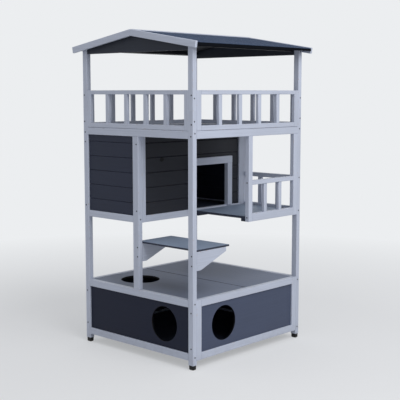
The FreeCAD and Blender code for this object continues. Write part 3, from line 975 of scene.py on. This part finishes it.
row_tree, row = geometry_tree(
    "baluster row",
    Size="Vector",
    First="Vector",
    Step="Vector",
    Count="Int",
    Ease="Float",
    Paint="Material",
)
size_x, size_y, size_z = [part_along(row["Size"], axis) for axis in "XYZ"]
square_size = {"Width": size_x, "Height": size_y}
square = size_x.add("GeometryNodeCurvePrimitiveQuadrilateral", inputs=square_size)
softening = {"Curve": square, "Count": baluster_ease_steps, "Radius": row["Ease"]}
softened = square.add("GeometryNodeFilletCurve", {"mode": "POLY"}, softening)
foot_end = softened.add("GeometryNodeFillCurve", {"mode": "NGONS"}, {"Curve": softened})
upward = {"Mesh": foot_end, "Offset": (0.0, 0.0, 1.0), "Offset Scale": size_z}
drawn_up = foot_end.add("GeometryNodeExtrudeMesh", {"mode": "FACES"}, upward, "Mesh")
turned_down = foot_end.add("GeometryNodeFlipFaces", inputs={"Mesh": foot_end})
both_ends = drawn_up.add("GeometryNodeJoinGeometry", inputs={"Geometry": drawn_up})
row_tree.links.new(turned_down.socket, both_ends.socket.node.inputs["Geometry"])
closing = {"Geometry": both_ends, "Distance": same_place}
baluster = both_ends.add("GeometryNodeMergeByDistance", inputs=closing)
row_line = {"Count": row["Count"], "Start Location": row["First"], "Offset": row["Step"]}
row_points = size_x.add("GeometryNodeMeshLine", inputs=row_line)
close_tree(on_points(row_points, baluster), row["Paint"])


def hang_railing(node, along_axis, heights, count, first_stile=0.0, last_stile=0.0):
    """Two rails with balusters between them, and a stile at each end that has a width for one."""
    low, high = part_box(node)
    depth_axis = AXIS_Y if along_axis == AXIS_X else AXIS_X
    axes = (along_axis, depth_axis, AXIS_Z)
    bottom, low_top, high_bottom, top = heights
    start = low[along_axis] + first_stile
    end = high[along_axis] - last_stile
    members = (
        (low[along_axis], start, bottom, high.z),
        (end, high[along_axis], bottom, high.z),
        (start, end, bottom, low_top),
        (start, end, high_bottom, top),
    )
    sticks = []
    for near, far, from_z, to_z in members:
        if far > near:
            near_corner = placed(axes, (near, low[depth_axis], from_z))
            sticks.append(stick(near_corner, placed(axes, (far, high[depth_axis], to_z))))
    gap = (end - start - count * baluster_width) / (count + 1)
    middle = (low[depth_axis] + high[depth_axis]) / 2
    upright = grow(
        row_tree,
        Size=placed(axes, (baluster_width, baluster_thickness, high_bottom - low_top)),
        First=placed(axes, (start + gap + baluster_width / 2, middle, low_top)),
        Step=placed(axes, (gap + baluster_width, 0.0, 0.0)),
        Count=count,
        Ease=baluster_ease,
        Paint=pale_paint,
    )
    hang_grained(join_meshes(node, [cut_timber(node, sticks, frame_ease), upright]), node)


hang_stick("hanging_post", frame_ease)
low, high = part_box("balcony_back_railing")
balcony_heights = (low.z, low.z + balcony_low_rail, high.z - balcony_handrail, high.z)
balcony_rails = (balcony_heights, balcony_balusters)
hang_railing("balcony_side_railing", AXIS_Y, *balcony_rails, last_stile=balcony_stile)
hang_railing("balcony_back_railing", AXIS_X, *balcony_rails)


# Terrace: four rim beams between the posts, a floor of two boards on cross bearers, and a railing
# on each side. The back floor board has a round hole above the balcony, as the way up from it.
terrace_hole = (0.200, 0.200)
terrace_hole_radius = 0.100
terrace_low_rail = 0.024
terrace_high_rail = 0.020
railing_seam = 0.0012
end_stile = 0.025
side_stile = 0.032
terrace_balusters = 4
sides = ("front", "back", "left", "right")

for side in sides:
    hang_stick(f"terrace_{side}_rim", frame_ease)

low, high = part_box("terrace_bearers")
terrace_bearers = cross_bearers(low, high, low.z, high.z)
hang_timber("terrace_bearers", terrace_bearers, bearer_ease, slate_paint, "slate_paint")
hang_stick("terrace_front_floor", floor_ease, floor_paint, "floor_paint")
terrace_cut = (terrace_hole, terrace_hole_radius, floor_ease)
hang_holed("terrace_back_floor", AXIS_Z, *terrace_cut, floor_paint, "floor_paint")

low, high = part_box("front_railing")
foot = low.z + railing_seam
terrace_heights = (foot, low.z + terrace_low_rail, high.z - terrace_high_rail, high.z)
for side in sides:
    along_axis, stile = (AXIS_X, end_stile) if side in ("front", "back") else (AXIS_Y, side_stile)
    hang_railing(side + "_railing", along_axis, terrace_heights, terrace_balusters, stile, stile)


# Roof timbers: a low gable board between the posts at each end, two side bearers and a ridge beam
# between them, and a 12 mm board on each slope. The gables are painted a lighter slate as painted
# light, and what lies behind them is painted near-black as painted shade.
gable_thickness = 0.018
ridge_beam_height = 0.030
roof_board_thickness = 0.012
slope_stretch = math.hypot(1.0, roof_slope)

# Painted light: the gables' slate is lighter, as bounce light falls on them from below.
lit_gable_paint = painted_wood("lighter slate paint", colour_of(51, 55, 65))


def peaked(half_width, bottom, peak):
    """Outline of a board whose top follows both slopes of the roof."""
    shoulder = down_slope(peak, half_width)
    return [
        (-half_width, bottom),
        (half_width, bottom),
        (half_width, shoulder),
        (0.0, peak),
        (-half_width, shoulder),
    ]


def slope_board(across, peak, thickness, reach, lower_reach):
    """Outline of a board down one slope: its upper edge at the ridge, and how far its edges reach."""
    foot = peak - thickness * slope_stretch
    return [
        (0.0, foot),
        (across * lower_reach, down_slope(foot, lower_reach)),
        (across * reach, down_slope(peak, reach)),
        (0.0, peak),
    ]


low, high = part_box("gable_boards")
gable_outline = peaked(high.x, low.z, high.z)
gables = [
    run_along_y(gable_outline, low.y, low.y + gable_thickness),
    run_along_y(gable_outline, high.y - gable_thickness, high.y),
]
hang_timber("gable_boards", gables, frame_ease, lit_gable_paint, "slate_paint")

low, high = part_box("roof_bearers")
bearer_inner = high.x - bearer_width
side_bearer = [
    (bearer_inner, low.z),
    (high.x, low.z),
    (high.x, down_slope(high.z, high.x)),
    (bearer_inner, down_slope(high.z, bearer_inner)),
]
other_bearer = [(-x, z) for x, z in side_bearer]
ridge_beam = peaked(bearer_width / 2, high.z - ridge_beam_height, high.z)
beam_outlines = (side_bearer, other_bearer, ridge_beam)
roof_beams = [run_along_y(outline, low.y, high.y) for outline in beam_outlines]
hang_timber("roof_bearers", roof_beams, bearer_ease, primer_for_painted_shade, "slate_paint")

slopes = (("left", -1.0), ("right", 1.0))
for side, across in slopes:
    node = f"roof_{side}_panel"
    low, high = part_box(node)
    reach = high.x if across > 0 else -low.x
    outline = slope_board(across, high.z, roof_board_thickness, reach, reach)
    roof_board = run_along_y(outline, low.y, high.y)
    hang_timber(node, [roof_board], bearer_ease, primer_for_painted_shade, "slate_paint")


# Roof felt: a sheet of bitumen felt on each slope with blue-grey mineral grit on top, folded down
# over the edge of the board at the eave. It is nailed down on the board and lies a little uneven.
felt_thickness = 0.003
felt_flap = 0.015
felt_fold = 0.006
felt_fold_steps = 6
felt_slope_steps = 28
felt_length_steps = 56
felt_unevenness = 0.0005
felt_waves = 9.0
felt_difference = 3.0
felt_crease = 40.0
grit_ends = 0.45
grit_fineness = 850.0


def mineral_felt():
    """Grit of blue and grey stones pressed into black bitumen, washed thinner in patches."""
    material, shader, felt = new_finish("mineral roof felt", gloss=0.03)
    place = place_on_house(felt)
    stone = cells(place, grit_fineness, "Color")
    stone_tone = channel(stone, "Red")
    stone_kind = channel(stone, "Green")
    stone_middle = cells(place, grit_fineness, "Distance")
    patches = mottle(place, 9.0, 4.0)
    washed = above(mottle(stretched(place, (5.0, 26.0, 5.0)), detail=4.0), 0.5, 3.0)
    blue = shaded(colour_of(62, 76, 101), 0.72 + stone_tone * 0.55 + swing(patches, 0.3))
    pale_stone = mixed((stone_kind > 0.88) * 0.6, blue, colour_of(130, 140, 156))
    dark_stone = mixed((0.14 - stone_kind > 0.0) * 0.7, pale_stone, colour_of(34, 38, 50))
    grit = mixed(washed * 0.16, dark_stone, colour_of(40, 43, 52))
    bitumen = shaded(colour_of(15, 17, 23), 0.8 + stone_tone * 0.4)
    dress(
        shader,
        mixed(marked(felt, "gritted"), bitumen, grit),
        0.86 - stone_tone * 0.14,
        (1.0 - stone_middle) * 0.8 + patches * 0.6,
        0.0006,
    )
    return material


def felt_sheet(name, low, high, across):
    """A sheet down one slope and round the eave, with a soft fold and a slightly uneven lie."""
    reach = high.x if across > 0 else -low.x
    flap_end = down_slope(high.z, reach) - felt_flap
    pitch = math.atan(roof_slope)
    fold_angle = math.pi / 2 - pitch
    fold_x = reach - felt_fold
    fold_z = down_slope(high.z, fold_x) - felt_fold * slope_stretch
    bend_start = fold_x + felt_fold * math.sin(pitch)
    spine = []
    for step in range(felt_slope_steps):
        x = bend_start * step / felt_slope_steps
        spine.append((x, down_slope(high.z, x), math.sin(pitch), math.cos(pitch)))
    for step in range(felt_fold_steps + 1):
        angle = fold_angle - fold_angle * step / felt_fold_steps
        out_x = math.cos(angle)
        out_z = math.sin(angle)
        spine.append((fold_x + felt_fold * out_x, fold_z + felt_fold * out_z, out_x, out_z))
    spine.append((reach, (fold_z + flap_end) / 2, 1.0, 0.0))
    spine.append((reach, flap_end, 1.0, 0.0))
    loops = []
    for step in range(felt_length_steps + 1):
        y = low.y + (high.y - low.y) * step / felt_length_steps
        outer = []
        inner = []
        for x, z, out_x, out_z in spine:
            spot = (across * x * felt_waves, y * felt_waves, across * felt_difference)
            lie = noise.noise(Vector(spot))
            drop = felt_unevenness * (0.5 + 0.5 * lie)
            outer.append((across * (x - out_x * drop), y, z - out_z * drop))
            inner.append((across * (x - out_x * felt_thickness), y, z - out_z * felt_thickness))
        loops.append(outer + list(reversed(inner)))
    mesh = as_mesh(name, lofted(loops))
    gritted = [1.0 if face.normal.z > grit_ends else 0.0 for face in mesh.polygons]
    mark_faces(mesh, "gritted", gritted)
    smooth_below(mesh, felt_crease)
    return mesh


roof_felt = mineral_felt()
for side, across in slopes:
    node = f"roof_{side}_felt"
    hang(felt_sheet(node, *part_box(node), across), roof_felt, node)


# Barge boards and ridge cap: planed boards that close the ends of the roof and stand a little
# above the felt, mitred at the ridge and cut square at the eave, and a thin strip bent over the
# ridge. They are screwed on last and painted pale grey.
barge_width = 0.031
barge_ease = 0.0024
cap_thickness = 0.004
cap_ease = 0.0009

for node in ("front_barge_boards", "back_barge_boards"):
    low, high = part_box(node)
    square_cut = high.x - barge_width * roof_slope / slope_stretch
    boards = []
    for across in left_and_right:
        outline = slope_board(across, high.z, barge_width, high.x, square_cut)
        boards.append(run_along_y(outline, low.y, high.y))
    hang_timber(node, boards, barge_ease, end_ease=barge_ease)

low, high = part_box("ridge_cap")
cap_foot = high.z - cap_thickness * slope_stretch
cap_section = [
    (0.0, cap_foot),
    (high.x, down_slope(cap_foot, high.x)),
    (high.x, down_slope(high.z, high.x)),
    (0.0, high.z),
    (low.x, down_slope(high.z, high.x)),
    (low.x, down_slope(cap_foot, high.x)),
]
cap = lofted([[(x, y, z) for x, z in cap_section] for y in (low.y, high.y)])
hang_grained(eased_mesh("ridge_cap", cap, cap_ease), "ridge_cap")


# Screws: black coated countersunk screws with a cross recess, driven through the posts into the
# rails behind. Their low domed heads stand just proud of the paint, each turned as it was driven.
head_proud = 0.0009
head_sink = 0.0012
head_sides = 24
head_crease = 35.0
recess_length = 0.0040
recess_width = 0.0011
recess_depth = 0.0007


def black_steel():
    """Black phosphate coating, rubbed back to dull steel by the driver."""
    material, shader, steel = new_finish("black coated steel", gloss=0.25)
    place = place_on_house(steel)
    speckle = mottle(place, 2600.0, 3.0)
    rubbed = above(mottle(place, 900.0, 3.0), 0.62, 6.0)
    coating = shaded(colour_of(30, 30, 33), 0.7 + speckle * 0.6)
    worn = mixed(rubbed * 0.25, coating, colour_of(110, 110, 114))
    dress(shader, worn, 0.42 + speckle * 0.2, speckle, 0.00005)
    metal = rubbed * 0.4
    metal.tree.links.new(metal.socket, shader.inputs["Metallic"])
    return material


def screw_heads(node):
    """Where each screw's head is, which way it looks and how wide it is, from the CAD screws."""
    draft = bmesh.new()
    draft.from_mesh(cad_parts[node].data)
    bmesh.ops.remove_doubles(draft, verts=draft.verts, dist=same_place)
    merged = as_mesh("screws", draft)
    number = stick_numbers(merged)
    points = np.array([vertex.co for vertex in merged.vertices])
    found = []
    for one in np.unique(number):
        mine = points[number == one]
        middle = (mine.max(axis=0) + mine.min(axis=0)) / 2
        shank = int(np.argmax(np.ptp(mine, axis=0)))
        wide = np.abs(np.delete(mine - middle, shank, axis=1)).max(axis=1)
        head_level = mine[np.argmax(wide), shank]
        outward = np.zeros(3)
        outward[shank] = math.copysign(1.0, head_level - middle[shank])
        centre = middle.copy()
        centre[shank] = mine[:, shank].max() if outward[shank] > 0 else mine[:, shank].min()
        found.append((Vector(centre), Vector(outward), float(wide.max())))
    return found


heads = screw_heads("frame_screws")
head_radius = heads[0][2]
head_profile = (
    (head_radius * 0.80, -head_sink),
    (head_radius * 0.99, -head_sink * 0.25),
    (head_radius, 0.0),
    (head_radius * 0.98, head_proud * 0.45),
    (head_radius * 0.88, head_proud * 0.85),
    (head_radius * 0.70, head_proud),
)
turned = [2.0 * math.pi * step / head_sides for step in range(head_sides)]
head_loops = []
for radius, z in head_profile:
    head_loops.append([(radius * math.cos(angle), radius * math.sin(angle), z) for angle in turned])
head = as_mesh("screw head", lofted(head_loops))

half_length = recess_length / 2
half_width = recess_width / 2
cross_arm = ((half_length, -half_width), (half_length, half_width), (half_width, half_width))
cross = []
for cosine, sine in ((1, 0), (0, 1), (-1, 0), (0, -1)):
    cross.extend((x * cosine - y * sine, x * sine + y * cosine) for x, y in cross_arm)
recess_levels = (head_proud - recess_depth, head_proud + recess_depth)
recess_loops = [[(x, y, z) for x, y in cross] for z in recess_levels]
recess = as_mesh("cross recess", lofted(recess_loops))

screw_tree, screw = geometry_tree(
    "screws", Places="Geometry", Head="Object", Recess="Object", Coating="Material"
)
crossed = cut_away(shape_of(screw["Head"]), shape_of(screw["Recess"]))
turn = crossed.add(
    "GeometryNodeInputNamedAttribute", {"data_type": "FLOAT_VECTOR"}, {"Name": "turn"}, "Attribute"
)
close_tree(on_points(screw["Places"], crossed, Rotation=turn), screw["Coating"])

places = bpy.data.meshes.new("screw places")
places.from_pydata([centre for centre, outward, radius in heads], [], [])
turns = []
for centre, outward, radius in heads:
    spin = Matrix.Rotation(draws.uniform(0.0, math.pi), 3, "Z")
    turns.extend((outward.to_track_quat("Z", "Y").to_matrix() @ spin).to_euler())
places.attributes.new("turn", "FLOAT_VECTOR", "POINT").data.foreach_set("vector", turns)
screw_steel = black_steel()
screw_mesh = grow(screw_tree, places, Head=head, Recess=recess, Coating=screw_steel)
smooth_below(screw_mesh, head_crease)
hang(screw_mesh, screw_steel, "frame_screws")


# Dowels: beech pegs glued into the joints of the posts. They never show once the house is
# together, so the plain pegs stay, in bare wood.
fleck_grid = (900.0, 900.0, 120.0)


def bare_wood():
    """Unpainted beech with short dark flecks along its length."""
    material, shader, wood = new_finish("bare beech")
    flecks = mottle(stretched(place_on_house(wood), fleck_grid), detail=3.0)
    beech = shaded(colour_of(204, 172, 132), 0.8 + flecks * 0.4)
    dress(shader, beech, 0.6 + flecks * 0.2, flecks, 0.0001)
    return material


peg_wood = bare_wood()
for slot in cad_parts["post_dowels"].material_slots:
    slot.material = peg_wood


# Studio: a plain pale floor that fades into a pale background, a large soft light from the right
# and an even light all round. The camera stands where the photograph was taken, a little below the
# terrace railing.
floor_reach = 40.0
floor_sides = 64
floor_clear = 1.2
floor_glow = 0.45
floor_fade = 0.22
floor_roughness = 0.9
floor_colour = colour_of(228, 229, 231)
background = colour_of(236, 238, 240)
around_colour = colour_of(250, 251, 255)
around_strength = 0.48
key_place = Vector((3.8, -0.7, 4.2))
key_aim = Vector((0.0, 0.0, 0.8))
key_size = 3.4
key_power = 148.0
camera_place = (3.2188, -3.4004, 1.2924)
camera_turn = (83.274, 0.0, 42.995)
camera_lens = 81.6
sensor_width = 36.0


def shown_directly(wire):
    """1 where the background is seen, also in a reflection, and 0 where it lights things."""
    rays = ("Is Camera Ray", "Is Glossy Ray", "Is Transmission Ray")
    camera, glossy, through = [wire.add("ShaderNodeLightPath", output=ray) for ray in rays]
    return held(camera + glossy + through)


def end_with(wire, end, factor, first, second):
    """Mixes two shaders by a factor and leads them to the end of a tree."""
    blend = wire.add("ShaderNodeMixShader", inputs={0: factor, 1: first, 2: second})
    wire.tree.links.new(blend.socket, wire.tree.nodes[end].inputs["Surface"])


floor_finish, floor_shader, ground = new_finish("studio floor", gloss=0.1)
floor_shader.inputs["Base Color"].default_value = floor_colour
floor_shader.inputs["Roughness"].default_value = floor_roughness
floor_base = Wire(ground.tree, floor_shader.outputs["BSDF"])
from_house = length_of(place_on_house(ground))
far_away = held(floor_glow + above(from_house, floor_clear, floor_fade))
glow = ground.add("ShaderNodeEmission", inputs={"Color": background})
end_with(ground, "Material Output", far_away * shown_directly(ground), floor_base, glow)

draft = bmesh.new()
bmesh.ops.create_circle(draft, cap_ends=True, radius=floor_reach, segments=floor_sides)
studio_floor = linked("studio_floor", as_mesh("studio_floor", draft))
studio_floor.data.materials.append(floor_finish)

world = bpy.data.worlds.new("studio")
world.use_nodes = True
scene.world = world
sky = Wire(world.node_tree)
around = {"Color": around_colour, "Strength": around_strength}
lighting = sky.add("ShaderNodeBackground", inputs=around)
backdrop = sky.add("ShaderNodeBackground", inputs={"Color": background, "Strength": 1.0})
end_with(sky, "World Output", shown_directly(sky), lighting, backdrop)

key = bpy.data.lights.new("key light", "AREA")
key.shape = "SQUARE"
key.size = key_size
key.energy = key_power
key_stand = linked("key light", key)
key_stand.location = key_place
key_stand.rotation_euler = (key_aim - key_place).to_track_quat("-Z", "Y").to_euler()

camera = bpy.data.cameras.new("camera")
camera.lens = camera_lens
camera.sensor_width = sensor_width
camera_stand = linked("camera", camera)
camera_stand.location = camera_place
camera_stand.rotation_euler = [math.radians(angle) for angle in camera_turn]
scene.camera = camera_stand
scene.view_settings.view_transform = "Standard"
